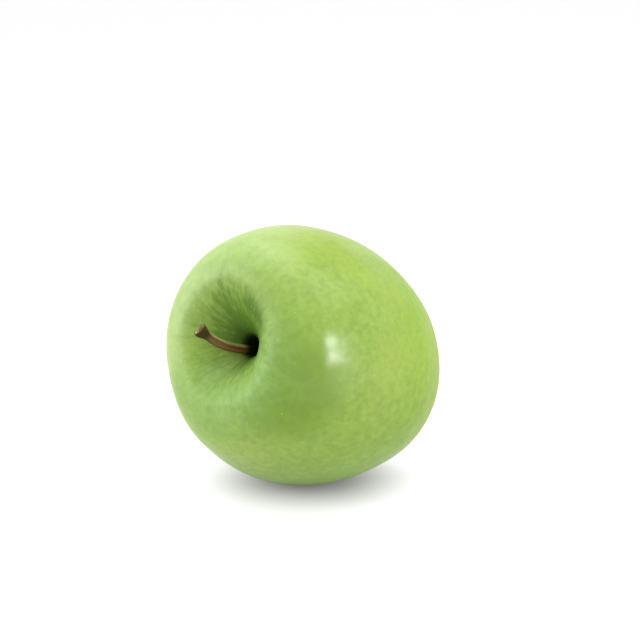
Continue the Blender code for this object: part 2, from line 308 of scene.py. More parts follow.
def makeSkin():
    look = skinLook
    material, tree, shader = newMaterial("appleSkin")
    place = attributeWire(tree, "applePlace")
    x, y, height = split(tree, place)
    radius = calc(tree, "SQRT", x * x + y * y)
    stemEnd = ramp(tree, height, 4 * mm, 20 * mm)
    blossomEnd = ramp(tree, height, -8 * mm, -30 * mm)

    patches = noise(tree, place, 1 / look["patchSize"], 2.0)
    mottle = noise(tree, place, 1 / look["mottleSize"], 3.0, 0.60, 0.3)
    colour = blend(tree, ramp(tree, mottle, 0.12, 0.91), look["deepGreen"], look["paleGreen"])
    colour = blend(tree, ramp(tree, patches, 0.40, 0.68, 0.0, 0.5), colour, look["yellowGreen"])
    # painted reflection: the skin paler towards the upper left, where it mirrors the broad light
    paintedSheen = facing(tree, place, look["paintedSheenTowards"]) + (patches - 0.5) * 0.5
    paintedSheen = ramp(tree, paintedSheen, 0.50, 1.00, 0.0, 0.46) * ramp(tree, radius, 12 * mm, 21 * mm)
    colour = blend(tree, paintedSheen, colour, look["paintedSheenGreen"])
    # painted shade: a darker olive patch on the front of the shoulder, where little light falls
    paintedShadeOlive = facing(tree, place, look["paintedShadePatchTowards"]) + (mottle - 0.5) * 0.03
    colour = blend(tree, ramp(tree, paintedShadeOlive, 0.89, 0.985, 0.0, 0.90), colour, look["paintedShadeOlivePatch"])

    # deep green and painted shade in the stem cavity, further out on one side, and fine lines that run
    # out of it
    angle = calc(tree, "ARCTAN2", y, x)
    turn = calc(tree, "COSINE", angle - math.radians(look["greenTowards"]))
    ray = combine(tree, x / radius, y / radius, radius * 22)
    lines = noise(tree, ray, 9.0, 5.0, 0.7)
    fade = ramp(tree, radius, look["streakReach"], 5 * mm) * stemEnd
    dark = ramp(tree, lines, 0.46, 0.66) * fade * ramp(tree, turn, -1.0, 0.4, 0.62, 0.75)
    colour = blend(tree, dark, colour, look["streakGreen"])
    ragged = (noise(tree, ray, 2.2, 3.0, 0.6) - 0.5) * 13 * mm + (lines - 0.5) * 15 * mm
    reach = turn * look["greenSide"] + look["cavityReach"] + ragged
    depth = ramp(tree, reach - radius, -1 * mm, 8 * mm) * stemEnd
    colour = blend(tree, depth * 0.9, colour, look["cavityGreenAndShade"])
    # painted reflection: a pale bluish crescent on the cavity's rim and lower wall, where they mirror
    # the light
    paintedReflectSide = calc(tree, "COSINE", angle - math.radians(look["paintedReflectTowards"]))
    paintedReflect = bell(tree, radius, 17 * mm, 9 * mm) * stemEnd * ramp(tree, paintedReflectSide, -0.4, 0.70, 0.0, 0.70)
    colour = blend(tree, paintedReflect * ramp(tree, lines, 0.62, 0.40, 0.5, 1.0), colour, look["paintedReflectGreen"])
    # painted shade: a dark fold running up from the hole, and darker green round the hole on one side
    paintedCreaseShadeSide = calc(tree, "COSINE", angle - math.radians(look["paintedCreaseShadeTowards"]))
    paintedCreaseShade = bell(tree, radius, 12.5 * mm, 3.2 * mm) * ramp(tree, paintedCreaseShadeSide, 0.82, 1.0, 0.0, 0.62)
    paintedCreaseShade = paintedCreaseShade * stemEnd
    paintedWellShade = ramp(tree, radius, 9 * mm, 4 * mm) * stemEnd * ramp(tree, turn, -0.8, 0.6, 0.25, 0.65)
    colour = blend(tree, calc(tree, "MAXIMUM", paintedCreaseShade, paintedWellShade), colour, look["paintedCreaseShadeGreen"])
    finer = noise(tree, combine(tree, x / radius, y / radius, radius * 30 + 4), 16.0, 4.0, 0.7)
    colour = blend(tree, ramp(tree, finer, 0.54, 0.68) * fade * 0.34, colour, look["paleStreak"])
    # painted shade: near black in the narrow throat where the stem goes in
    paintedThroatShade = ramp(tree, radius, 4.2 * mm, 2.7 * mm) * stemEnd
    colour = blend(tree, paintedThroatShade, colour, look["paintedThroatShadeGreen"])

    # pale dots, with the size drawn from each cell
    dots = addNode(tree, "ShaderNodeTexVoronoi",
                   {"Vector": place, "Scale": 1 / look["dotSpacing"]}, feature="F1")
    distance = Wire(tree, dots.outputs["Distance"]) * look["dotSpacing"]
    luck = split(tree, Wire(tree, dots.outputs["Color"]))[0]
    size = ramp(tree, luck, 0.25, 1.0, 0.2 * look["dotRadius"], 1.3 * look["dotRadius"])
    spot = ramp(tree, distance / size, 1.5, 0.4) * (1 - depth)
    colour = blend(tree, spot * 0.36, colour, look["dotColour"])
    colour = blend(tree, ramp(tree, height, 10 * mm, -14 * mm) * 0.6, colour, look["flankGreen"])
    # painted shade: darker green on the side that faces the floor
    shade = facing(tree, place, look["shadeTowards"])
    colour = blend(tree, ramp(tree, shade, 0.22, 0.95, 0.0, 0.75), colour, look["paintedShadeGreen"])
    colour = blend(tree, blossomEnd * 0.3, colour, look["yellowGreen"])
    strokes = noise(tree, place, 1 / look["strokeSize"], 2.0, 0.55, 1.3)
    tone = ramp(tree, strokes, 0.30, 0.70, 0.955, 1.04) * ramp(tree, mottle, 0.33, 0.70, 0.99, 1.01)
    # the mottling again, where the painted shade of the under side covers it
    tone = tone * (1 + (mottle - 0.5) * ramp(tree, shade, 0.15, 0.70) * 0.42)
    colour = blend(tree, 1.0, colour, combine(tree, tone, tone, tone), "MULTIPLY")
    plug(tree, shader.inputs["Base Color"], colour)

    gloss = noise(tree, place, 1 / look["glossSize"], 3.0)
    smooth, rough = look["roughness"] - 0.05, look["roughness"] + 0.07
    plug(tree, shader.inputs["Roughness"], ramp(tree, gloss, 0.3, 0.7, smooth, rough))
    grain = noise(tree, place, 1 / look["grainSize"], 3.0, 0.6)
    relief = grain * 0.35 + mottle * 0.6 - spot * 0.35
    bumped = addNode(tree, "ShaderNodeBump",
                     {"Strength": 0.25, "Distance": look["grainHeight"], "Height": relief})
    plug(tree, shader.inputs["Normal"], Wire(tree, bumped.outputs["Normal"]))
    shader.inputs["IOR"].default_value = 1.42
    shader.inputs["Specular IOR Level"].default_value = 0.10
    shader.inputs["Subsurface Weight"].default_value = look["fleshGlow"]
    shader.inputs["Subsurface Radius"].default_value = (0.7, 1.0, 0.35)
    shader.inputs["Subsurface Scale"].default_value = look["fleshReach"]

    # wax: less in the cavity, on its rim and on one side, more on a rubbed spot
    wax = ramp(tree, radius, 18 * mm, 36 * mm, look["cavityWax"], look["wax"])
    wax = wax + (look["wax"] - wax) * (1 - stemEnd)
    wax = wax * ramp(tree, facing(tree, place, look["dullTowards"]), 0.50, 0.95, 1.0, 0.15)
    rubbed = ramp(tree, facing(tree, place, look["rubbedTowards"]), 0.925, 0.985)
    plug(tree, shader.inputs["Coat Weight"], wax + (look["rubbedWax"] - wax) * rubbed)
    shader.inputs["Coat Roughness"].default_value = look["waxRoughness"]
    return material


# Fruit

fruitLook = {
    "diameter": 76 * mm,
    "shoulder": 34.0 * mm,  # widest ring up to the rim of the stem cavity
    "crown": 37.9 * mm,  # widest ring down to the rim of the calyx basin
    "cavityDepth": 17.5 * mm,
    "basinDepth": 8 * mm,
    "rim": 19 * mm,
    "crownRim": 15 * mm,
    # lobes round the core: how many, how much of the radius, and where one of them points
    "swells": [(2, 0.0180, -24.5), (3, 0.0075, -1.3), (4, 0.0104, -20.7), (5, 0.0047, -34.6)],
    "highShoulder": 1.9 * mm,
    "highShoulderTowards": 39.5,
    "cavityFold": 0.3 * mm,
    "cavityFoldTowards": 135,
    "crownKnob": 0.7 * mm,
    "crownKnobTowards": 20,
    "calyxWrinkle": 0.22 * mm,
    "waviness": 0.22 * mm,
    "waveSize": 17 * mm,
    "pitting": 0.035 * mm,
    "pitSize": 2.4 * mm,
    "evening": 0.014,  # as a share of the profile's length
    "stemRise": 18.3,  # degrees from level up to the core line
    "columns": 420,
    "rows": 220,
}
cavityFloor = fruitLook["shoulder"] - fruitLook["cavityDepth"]
basinFloor = fruitLook["basinDepth"] - fruitLook["crown"]
tubeDepth = 2.6 * mm
carpels = 5


def fruitProfile():  # half the section as (radius, height), from the stem's foot to the calyx tube
    look = fruitLook
    rim, crown, widest = look["shoulder"], -look["crown"], look["diameter"] / 2
    return [
        (0.8 * mm, cavityFloor - 0.8 * mm),
        (1.6 * mm, cavityFloor + 0.1 * mm),
        (2.1 * mm, cavityFloor + 1.0 * mm),
        (2.4 * mm, rim - 14.5 * mm),
        (2.8 * mm, rim - 12.9 * mm),
        (3.6 * mm, rim - 11.3 * mm),
        (7.3 * mm, rim - 7.1 * mm),
        (10.8 * mm, rim - 3.6 * mm),
        (14.5 * mm, rim - 1.2 * mm),
        (look["rim"], rim),
        (26.2 * mm, rim - 2.6 * mm),
        (33.2 * mm, rim * 0.62),
        (widest, 0.0),
        (34.3 * mm, crown * 0.50),
        (26.3 * mm, crown * 0.86),
        (look["crownRim"], crown),
        (9.8 * mm, crown + 2.4 * mm),
        (5.8 * mm, crown + 6.0 * mm),
        (3.7 * mm, basinFloor - 0.2 * mm),
        (3.1 * mm, basinFloor + 0.5 * mm),
        (2.9 * mm, basinFloor + 2.0 * mm),
        (1.5 * mm, basinFloor + tubeDepth),
    ]


def guideCurve(name, points, kind):
    curve = bpy.data.curves.new(name, "CURVE")
    curve.dimensions = "3D"
    curve.resolution_u = 24
    spline = curve.splines.new(kind)
    if kind == "BEZIER":
        spline.bezier_points.add(len(points) - 1)
        for knot, place in zip(spline.bezier_points, points):
            knot.co = place
            knot.handle_left_type = knot.handle_right_type = "AUTO"
    else:
        spline.points.add(len(points) - 1)
        for knot, place in zip(spline.points, points):
            knot.co = (*place, 1.0)
    return newObject(name, curve)


def sampleGuide(tree, guide, share):
    shape = wireFrom(tree, "GeometryNodeObjectInfo", "Geometry", {"Object": guide})
    node = addNode(tree, "GeometryNodeSampleCurve", {"Curves": shape, "Factor": share}, mode="FACTOR")
    return [Wire(tree, openSocket(node.outputs, name)) for name in ("Position", "Tangent", "Normal")]


def makeFruitTree(skin):
    look = fruitLook
    inputs = {"Profile": profileGuide, "Skin": skin, "Columns": look["columns"], "Rows": look["rows"],
              "High shoulder": look["highShoulder"], "Cavity fold": look["cavityFold"],
              "Crown knob": look["crownKnob"], "Calyx wrinkle": look["calyxWrinkle"],
              "Waviness": look["waviness"], "Pitting": look["pitting"]}
    inputs.update({"Swell %d" % count: amount for count, amount, towards in look["swells"]})
    tree, given = newTree("growFruit", inputs)
    shell, angle, fromAxis, up = tube(tree, given["Columns"], given["Rows"])
    share = 0.5 - up * 0.5
    profile = sampleGuide(tree, given["Profile"], share)[0]
    evened = scaled(tree, profile, 3 / 9)  # a running mean, weighted 1 2 3 2 1, evens shoulder and flank
    for step, weight in ((-2, 1), (-1, 2), (1, 2), (2, 1)):
        near = sampleGuide(tree, given["Profile"], share + step * look["evening"])[0]
        evened = calcVector(tree, "ADD", evened, scaled(tree, near, weight / 9))
    outer = ramp(tree, split(tree, profile)[0], look["rim"] - 2 * mm, look["rim"] + 3 * mm)
    profile = calcVector(tree, "ADD", scaled(tree, profile, 1 - outer), scaled(tree, evened, outer))
    radius, unused, height = split(tree, profile)
    radius = radius * fromAxis

    lower = ramp(tree, height, 12 * mm, -30 * mm)
    upper = 1 - lower

    def lobe(count, towards):
        return calc(tree, "COSINE", (angle - math.radians(towards)) * count)

    swell = 1.0
    for count, amount, towards in look["swells"]:
        swell = swell + given["Swell %d" % count] * lobe(count, towards)
    tilt = given["High shoulder"] * radius / look["rim"] * lobe(1, look["highShoulderTowards"])
    fold = given["Cavity fold"] * bell(tree, radius, 12 * mm, 6 * mm) * lobe(
        carpels, look["cavityFoldTowards"])
    knob = given["Crown knob"] * bell(tree, radius, look["crownRim"], 6 * mm) * lobe(
        carpels, look["crownKnobTowards"])
    wrinkles = calc(tree, "COSINE", angle * 15 + noise(tree, profile, 300.0) * 5)
    wrinkle = given["Calyx wrinkle"] * bell(tree, radius, 6.5 * mm, 3.0 * mm) * wrinkles
    swollen = radius * swell
    grown = combine(tree, swollen * calc(tree, "COSINE", angle), swollen * calc(tree, "SINE", angle),
                    height + upper * (tilt + fold) - lower * (knob + wrinkle))
    surface = moveTo(tree, shell, grown)

    # slow waves and small pits of the living surface, along its normal
    waves = noise(tree, position(tree), 1 / look["waveSize"], 1.0) - 0.5
    pits = noise(tree, position(tree), 1 / look["pitSize"], 3.0, 0.6) - 0.5
    lift = given["Waviness"] * waves * 2 + given["Pitting"] * pits * 2
    surface = keepAttribute(tree, surface, "applePlace", "FLOAT_VECTOR", position(tree))
    surface = nudge(tree, surface, scaled(tree, normal(tree), lift))
    endTree(tree, surface, given["Skin"])
    return tree


def restingPose(piece):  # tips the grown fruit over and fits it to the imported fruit's box
    tip = Matrix.Rotation(math.radians(90 - fruitLook["stemRise"]), 4, "X")
    spots = np.empty(len(piece.data.vertices) * 3, np.float32)
    piece.data.vertices.foreach_get("co", spots)
    spots = spots.reshape(-1, 3) @ np.array(tip.to_3x3()).T
    low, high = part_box("fruit")
    middle = (spots.min(0) + spots.max(0)) / 2
    shift = Vector(((low.x + high.x) / 2 - middle[0], (low.y + high.y) / 2 - middle[1],
                    high.z - spots[:, 2].max()))
    return Matrix.Translation(shift) @ tip


def flattenUnderside(piece):  # the small flat spot that the fruit rests on
    for vertex in piece.data.vertices:
        vertex.co.z = max(vertex.co.z, 0.0)


skin = makeSkin()
profileGuide = guideCurve("profileGuide", [(radius, 0, height) for radius, height in fruitProfile()],
                          "BEZIER")
fruit = growPiece("appleFruit", makeFruitTree(skin), {"Profile": profileGuide, "Skin": skin})
pose = restingPose(fruit)
finishPiece(fruit, "fruit")
flattenUnderside(fruit)
bpy.data.objects.remove(profileGuide)


# Stem

stemLook = {
    "length": 27.8 * mm,  # from the cavity's floor to the cut end
    "radius": 1.18 * mm,
    "clubRadius": 1.90 * mm,
    "clubStart": 0.885,
    "footRadius": 1.30 * mm,
    "sunk": 2.5 * mm,
    "leanAtFoot": -10.6,
    "leanAtTip": 35.3,
    "towards": 121.3,
    "curl": 2.2,
    "ridges": 6,
    "ridgeHeight": 0.07 * mm,
    "knobbliness": 0.10 * mm,
    "lumpiness": 0.5 * mm,
    "cutHollow": 0.85 * mm,
    "cutWaist": 0.10 * mm,
    "cutRoughness": 0.25 * mm,
    "columns": 72,
    "rows": 260,
    "sideRows": 0.92,  # share of the rows on the stem's side, with the rest on its cut face
    "barkRed": (0.225, 0.074, 0.029, 1),
    "barkBrown": (0.150, 0.083, 0.029, 1),
    "barkDust": (0.230, 0.182, 0.088, 1),
    # painted light: the pale upper side of the stem
    "barkPaintedLight": (0.290, 0.275, 0.125, 1),
    # dark bark, also used as painted shade along the stem's side, under the club and in the cut's hollow
    "barkDarkAndShade": (0.034, 0.026, 0.005, 1),
    # painted shade: the stem's foot deep in the cavity
    "paintedFootShade": (0.012, 0.009, 0.005, 1),
    "cutRim": (0.325, 0.315, 0.118, 1),
    "cutWood": (0.125, 0.105, 0.042, 1),
}
stemRise = math.radians(fruitLook["stemRise"])
worldUp = Vector((0, math.cos(stemRise), math.sin(stemRise)))  # as seen in the apple's own frame


def stemDirection(share):
    look = stemLook
    bend = look["leanAtTip"] - look["leanAtFoot"]
    lean = math.radians(look["leanAtFoot"] + bend * share ** look["curl"])
    towards = math.radians(look["towards"])
    across = math.sin(lean)
    return Vector((across * math.cos(towards), across * math.sin(towards), math.cos(lean)))


def stemPath(steps):  # straight in its hole, curling above it
    length, sunk = stemLook["length"], stemLook["sunk"]
    step = (length + sunk) / steps
    point = Vector((0, 0, cavityFloor)) - stemDirection(0.0) * sunk
    points = [point]
    for index in range(steps):
        share = max(0.0, ((index + 0.5) * step - sunk) / length)
        point = point + stemDirection(share) * step
        points.append(point)
    return points


def makeStemTree(bark):
    look = stemLook
    inputs = {"Path": stemGuide, "Bark": bark, "Columns": look["columns"], "Rows": look["rows"],
              "Radius": look["radius"], "Club radius": look["clubRadius"],
              "Foot radius": look["footRadius"], "Ridge height": look["ridgeHeight"],
              "Knobbliness": look["knobbliness"], "Cut hollow": look["cutHollow"]}
    tree, given = newTree("growStem", inputs)
    shell, angle, fromAxis, up = tube(tree, given["Columns"], given["Rows"])
    share = up * 0.5 + 0.5
    rim = look["sideRows"]
    sideShare = calc(tree, "MINIMUM", share / rim, 1.0)
    cap = calc(tree, "MAXIMUM", (share - rim) / (1 - rim), 0.0)  # 0 at the cut's rim, 1 at its middle
    middle, along, across = sampleGuide(tree, given["Path"], sideShare)
    third = calcVector(tree, "CROSS_PRODUCT", along, across)

    foot = (given["Foot radius"] - given["Radius"]) * ramp(tree, sideShare, 0.25, 0.0)
    club = (given["Club radius"] - given["Radius"]) * ramp(tree, sideShare, look["clubStart"], 0.985)
    waist = ramp(tree, sideShare, 0.985, 1.0) * look["cutWaist"]
    thick = given["Radius"] + foot + club - waist
    straight = combine(tree, calc(tree, "COSINE", angle) * thick, calc(tree, "SINE", angle) * thick,
                       sideShare * look["length"])
    wander = noise(tree, straight, 160.0) * 3
    ridge = calc(tree, "SINE", angle * look["ridges"] + wander) * given["Ridge height"]
    knobs = (noise(tree, straight, 520.0, 3.0, 0.6) - 0.5) * 2 * given["Knobbliness"]
    lump = (noise(tree, straight, 210.0, 1.0) - 0.5) * look["lumpiness"]
    lump = lump * ramp(tree, sideShare, 0.55, 1.0)
    thick = (thick + ridge + knobs + lump) * (1 - cap) * fromAxis
    hollow = given["Cut hollow"] * ramp(tree, cap, 0.12, 0.6)
    rough = (noise(tree, straight, 900.0, 2.0) - 0.5) * look["cutRoughness"] * ramp(tree, cap, 0.0, 0.3)

    sideways = calcVector(tree, "ADD", scaled(tree, across, calc(tree, "COSINE", angle) * thick),
                          scaled(tree, third, calc(tree, "SINE", angle) * thick))
    sunk = scaled(tree, along, rough - hollow)
    grown = calcVector(tree, "ADD", calcVector(tree, "ADD", middle, sideways), sunk)
    surface = keepAttribute(tree, shell, "barkPlace", "FLOAT_VECTOR", straight)
    surface = keepAttribute(tree, surface, "stemShare", "FLOAT", sideShare)
    surface = keepAttribute(tree, surface, "cutShare", "FLOAT", cap)
    outward = calcVector(tree, "ADD", scaled(tree, across, calc(tree, "COSINE", angle)),
                         scaled(tree, third, calc(tree, "SINE", angle)))
    upper = dot(tree, outward, worldUp)  # 1 on the stem's upper side
    surface = keepAttribute(tree, surface, "upperShare", "FLOAT", upper)
    surface = moveTo(tree, surface, grown)
    endTree(tree, surface, given["Bark"])
    return tree


def makeBark():
    look = stemLook
    material, tree, shader = newMaterial("stemBark")
    place = attributeWire(tree, "barkPlace")
    share = attributeWire(tree, "stemShare", "Fac")
    cut = attributeWire(tree, "cutShare", "Fac")
    x, y, along = split(tree, place)
    grainPlace = combine(tree, x, y, along * 0.16)
    grain = noise(tree, grainPlace, 2600.0, 4.0, 0.65)
    blotch = noise(tree, place, 420.0, 3.0)
    upper = attributeWire(tree, "upperShare", "Fac") + (blotch - 0.5) * 0.7
    colour = blend(tree, ramp(tree, share + (blotch - 0.5) * 0.5, 0.35, 0.75), look["barkRed"],
                   look["barkBrown"])
    colour = blend(tree, ramp(tree, grain, 0.50, 0.72, 0.0, 0.4), colour, look["barkDust"])
    # painted light: the stem's upper side paler, where the overhead light falls
    colour = blend(tree, ramp(tree, upper, 0.15, 0.80, 0.0, 0.85), colour, look["barkPaintedLight"])
    # painted shade: a dark line along the stem's side and darker bark under it
    paintedEdgeShade = bell(tree, upper, 0.12, 0.20) * 0.5 + ramp(tree, upper, -0.5, -0.95, 0.0, 0.7)
    colour = blend(tree, paintedEdgeShade, colour, look["barkDarkAndShade"])
    # the club darker all round, with painted shade strongest on its under side
    club = ramp(tree, share + (blotch - 0.5) * 0.06, 0.84, 0.93)
    club = club * ramp(tree, upper, 0.9, 0.4, 0.55, 0.95)
    colour = blend(tree, club, colour, look["barkDarkAndShade"])
    # painted shade: the foot of the stem near black deep in the cavity
    colour = blend(tree, ramp(tree, share, 0.46, 0.34), colour, look["paintedFootShade"])
    cutColour = blend(tree, ramp(tree, cut + (blotch - 0.5) * 0.3, 0.30, 0.55), look["cutRim"],
                      look["cutWood"])
    # painted light and shade: the cut's rim stays bright on its lower side and is darkened on its upper
    # side
    cutColour = blend(tree, ramp(tree, upper, 0.0, 0.8, 0.0, 0.75), cutColour, look["cutWood"])
    colour = blend(tree, ramp(tree, cut + (blotch - 0.5) * 0.16, 0.04, 0.20), colour, cutColour)
    # painted shade: the middle of the cut's hollow darker
    colour = blend(tree, ramp(tree, cut, 0.75, 0.95, 0.0, 0.6), colour, look["barkDarkAndShade"])
    plug(tree, shader.inputs["Base Color"], colour)
    plug(tree, shader.inputs["Roughness"], ramp(tree, grain, 0.3, 0.7, 0.55, 0.8))
    shader.inputs["Specular IOR Level"].default_value = 0.08
    bumped = addNode(tree, "ShaderNodeBump",
                     {"Strength": 0.6, "Distance": 0.12 * mm, "Height": grain + blotch * 0.5})
    plug(tree, shader.inputs["Normal"], Wire(tree, bumped.outputs["Normal"]))
    return material


bark = makeBark()
stemGuide = guideCurve("stemGuide", stemPath(60), "POLY")
stem = growPiece("appleStem", makeStemTree(bark), {"Path": stemGuide, "Bark": bark})
finishPiece(stem, "stem")
bpy.data.objects.remove(stemGuide)


# Calyx: five dried sepals on their ring, and the tuft of dried stamens inside it

sepalLook = {
    "count": carpels,
    "length": 6.2 * mm,
    "width": 2.0 * mm,
    "tipWidth": 0.22 * mm,  # half of it, added all along the sepal
    "thickness": 0.42 * mm,
    "sunk": 1.0 * mm,
    "cupping": 0.35 * mm,
    "ribHeight": 0.12 * mm,
    "ringOuter": 2.9 * mm,
    "ringInner": 2.1 * mm,
    "ringMiddle": 1.2 * mm,  # above the basin's floor
    "ringHalfHeight": 1.1 * mm,
    "spread": 1.0 * mm,
    "close": 0.8 * mm,
    "recurve": 1.2 * mm,
    "crinkle": 0.35 * mm,
    "hairs": 420,
    "hairyArea": 150 * mm * mm,
    "hairLength": 0.55 * mm,
    "hairRadius": 0.022 * mm,
    "seed": 4,
    "dryOlive": (0.200, 0.185, 0.085, 1),
    "dryBrown": (0.085, 0.048, 0.022, 1),
    "down": (0.480, 0.450, 0.330, 1),
}


def makeSepalTree(leaf):
    look = sepalLook
    inputs = {"Leaf": leaf, "Count": look["count"], "Length": look["length"], "Width": look["width"],
              "Thickness": look["thickness"], "Spread": look["spread"], "Close": look["close"],
              "Recurve": look["recurve"], "Crinkle": look["crinkle"], "Hairs": look["hairs"],
              "Seed": look["seed"]}
    tree, given = newTree("growSepals", inputs)

    # one sepal, drawn with its foot on the ring at +X, growing towards -Z
    shell, angle, fromAxis, up = tube(tree, 40, 44)
    share = up * 0.5 + 0.5
    end = calc(tree, "MAXIMUM", (share - 0.97) / 0.03, 0.0)
    side = calc(tree, "COSINE", angle)
    face = calc(tree, "SINE", angle)
    halfWidth = given["Width"] * 0.5 * (1 - calc(tree, "POWER", share, 1.8)) + look["tipWidth"]
    halfWidth = halfWidth * (1 - end)
    seat = (look["ringOuter"] + look["ringInner"]) / 2
    reach = seat + given["Spread"] * ramp(tree, share, 0.2, 0.5)
    reach = reach - given["Close"] * ramp(tree, share, 0.45, 0.75)
    reach = reach + given["Recurve"] * ramp(tree, share, 0.7, 1.0)
    out = given["Length"] * share * (1 - share * 0.12) - look["sunk"]
    cup = side * side * -look["cupping"] * ramp(tree, share, 0.1, 0.6)
    wave = (noise(tree, combine(tree, side * 0.9, share * 3, 0.0), 2.2, 2.0) - 0.5) * given["Crinkle"]
    wave = wave * 2 * ramp(tree, share, 0.25, 0.6)
    thick = given["Thickness"] * 0.5 * face * (1 - end) * (1 - side * side * 0.55)
    rib = bell(tree, side, 0.0, 0.22) * look["ribHeight"] * calc(tree, "SIGN", face) * (1 - share)
    drawn = combine(tree, reach + cup + wave + thick + rib, side * halfWidth, out * -1)
    sepal = keepAttribute(tree, shell, "leafShare", "FLOAT", share)
    sepal = moveTo(tree, sepal, drawn)

    spots = addNode(tree, "GeometryNodeMeshLine", {"Count": given["Count"], "Offset": (0, 0, 0)})
    index = wireFrom(tree, "GeometryNodeInputIndex", 0, {})
    turn = index * (2 * math.pi / carpels) + math.radians(fruitLook["crownKnobTowards"])
    wobble = wireFrom(tree, "FunctionNodeRandomValue", "Value",
                      {"Min": (-0.05, -0.07, -0.09), "Max": (0.05, 0.03, 0.09), "Seed": given["Seed"]},
                      data_type="FLOAT_VECTOR")
    size = wireFrom(tree, "FunctionNodeRandomValue", "Value",
                    {"Min": 0.90, "Max": 1.04, "Seed": given["Seed"]}, data_type="FLOAT")
    turned = calcVector(tree, "ADD", combine(tree, 0.0, 0.0, turn), wobble)
    feeds = {"Points": Wire(tree, spots.outputs["Mesh"]), "Instance": sepal, "Rotation": turned,
             "Scale": combine(tree, 1.0, 1.0, size)}
    crown = wireFrom(tree, "GeometryNodeInstanceOnPoints", 0, feeds)
    crown = wireFrom(tree, "GeometryNodeRealizeInstances", 0, {"Geometry": crown})

    # the short ring that the sepals grow from
    hoop, hoopAngle, hoopAxis, hoopUp = tube(tree, 60, 16)
    lap = hoopUp * math.pi * 1.02  # a little more than once round, to close the ring
    wall = (look["ringOuter"] - look["ringInner"]) / 2
    hoopRadius = (seat + calc(tree, "COSINE", lap) * wall) * hoopAxis
    hoopHeight = calc(tree, "SINE", lap) * look["ringHalfHeight"] + look["ringMiddle"]
    hoopPlace = combine(tree, hoopRadius * calc(tree, "COSINE", hoopAngle),
                        hoopRadius * calc(tree, "SINE", hoopAngle), hoopHeight)
    hoop = moveTo(tree, hoop, hoopPlace)
    whole = tree.nodes.new("GeometryNodeJoinGeometry")
    tree.links.new(crown.socket, whole.inputs[0])
    tree.links.new(hoop.socket, whole.inputs[0])
    leafy = Wire(tree, whole.outputs[0])

    # down on both faces of the sepals
    feeds = {"Mesh": crown, "Density": given["Hairs"] / look["hairyArea"], "Seed": given["Seed"]}
    scatter = addNode(tree, "GeometryNodeDistributePointsOnFaces", feeds)
    hair = wireFrom(tree, "GeometryNodeMeshCone", "Mesh",
                    {"Vertices": 3, "Radius Top": look["hairRadius"] * 0.3,
                     "Radius Bottom": look["hairRadius"], "Depth": look["hairLength"]})
    lean = wireFrom(tree, "FunctionNodeRandomValue", "Value",
                    {"Min": (-0.7, -0.7, -0.7), "Max": (0.7, 0.7, 0.7), "Seed": given["Seed"]},
                    data_type="FLOAT_VECTOR")
    away = calcVector(tree, "ADD", Wire(tree, scatter.outputs["Normal"]), lean)
    stand = wireFrom(tree, "FunctionNodeAlignEulerToVector", 0, {"Vector": away}, axis="Z")
    feeds = {"Points": Wire(tree, scatter.outputs["Points"]), "Instance": hair, "Rotation": stand}
    fuzz = wireFrom(tree, "GeometryNodeInstanceOnPoints", 0, feeds)
    fuzz = wireFrom(tree, "GeometryNodeRealizeInstances", 0, {"Geometry": fuzz})
    fuzz = keepAttribute(tree, fuzz, "leafDown", "FLOAT", 1.0)
    both = tree.nodes.new("GeometryNodeJoinGeometry")
    tree.links.new(leafy.socket, both.inputs[0])
    tree.links.new(fuzz.socket, both.inputs[0])
    seated = wireFrom(tree, "GeometryNodeTransform", 0,
                      {"Geometry": Wire(tree, both.outputs[0]), "Translation": (0, 0, basinFloor)})
    endTree(tree, seated, given["Leaf"])
    return tree


def makeDryLeaf():
    look = sepalLook
    material, tree, shader = newMaterial("drySepal")
    place = wireFrom(tree, "ShaderNodeTexCoord", "Object", {})
    share = attributeWire(tree, "leafShare", "Fac")
    down = attributeWire(tree, "leafDown", "Fac")
    blotch = noise(tree, place, 700.0, 4.0, 0.6)
    colour = blend(tree, ramp(tree, blotch, 0.35, 0.65), look["dryOlive"], look["dryBrown"])
    colour = blend(tree, ramp(tree, share, 0.55, 0.95, 0.0, 0.8), colour, look["dryBrown"])
    colour = blend(tree, down, colour, look["down"])
    plug(tree, shader.inputs["Base Color"], colour)
    shader.inputs["Roughness"].default_value = 0.85
    bumped = addNode(tree, "ShaderNodeBump", {"Strength": 0.5, "Distance": 0.1 * mm, "Height": blotch})
    plug(tree, shader.inputs["Normal"], Wire(tree, bumped.outputs["Normal"]))
    return material


dryLeaf = makeDryLeaf()
sepals = growPiece("calyxSepals", makeSepalTree(dryLeaf), {"Leaf": dryLeaf})
finishPiece(sepals, "calyx_sepals")

stamenLook = {
    "stamens": 16,
    "styles": 5,
    "length": 3.3 * mm,
    "radius": 0.13 * mm,
    "tipRadius": 0.27 * mm,
    "bend": 0.35 * mm,
    "ring": 1.15 * mm,
    "styleRing": 0.45 * mm,
    "coreRadius": 1.45 * mm,
    "coreSeat": 0.2 * mm,
    "coreRise": 3.0 * mm,
    "seed": 11,
    "threadBrown": (0.070, 0.040, 0.020, 1),
    "tipDust": (0.230, 0.160, 0.080, 1),
}


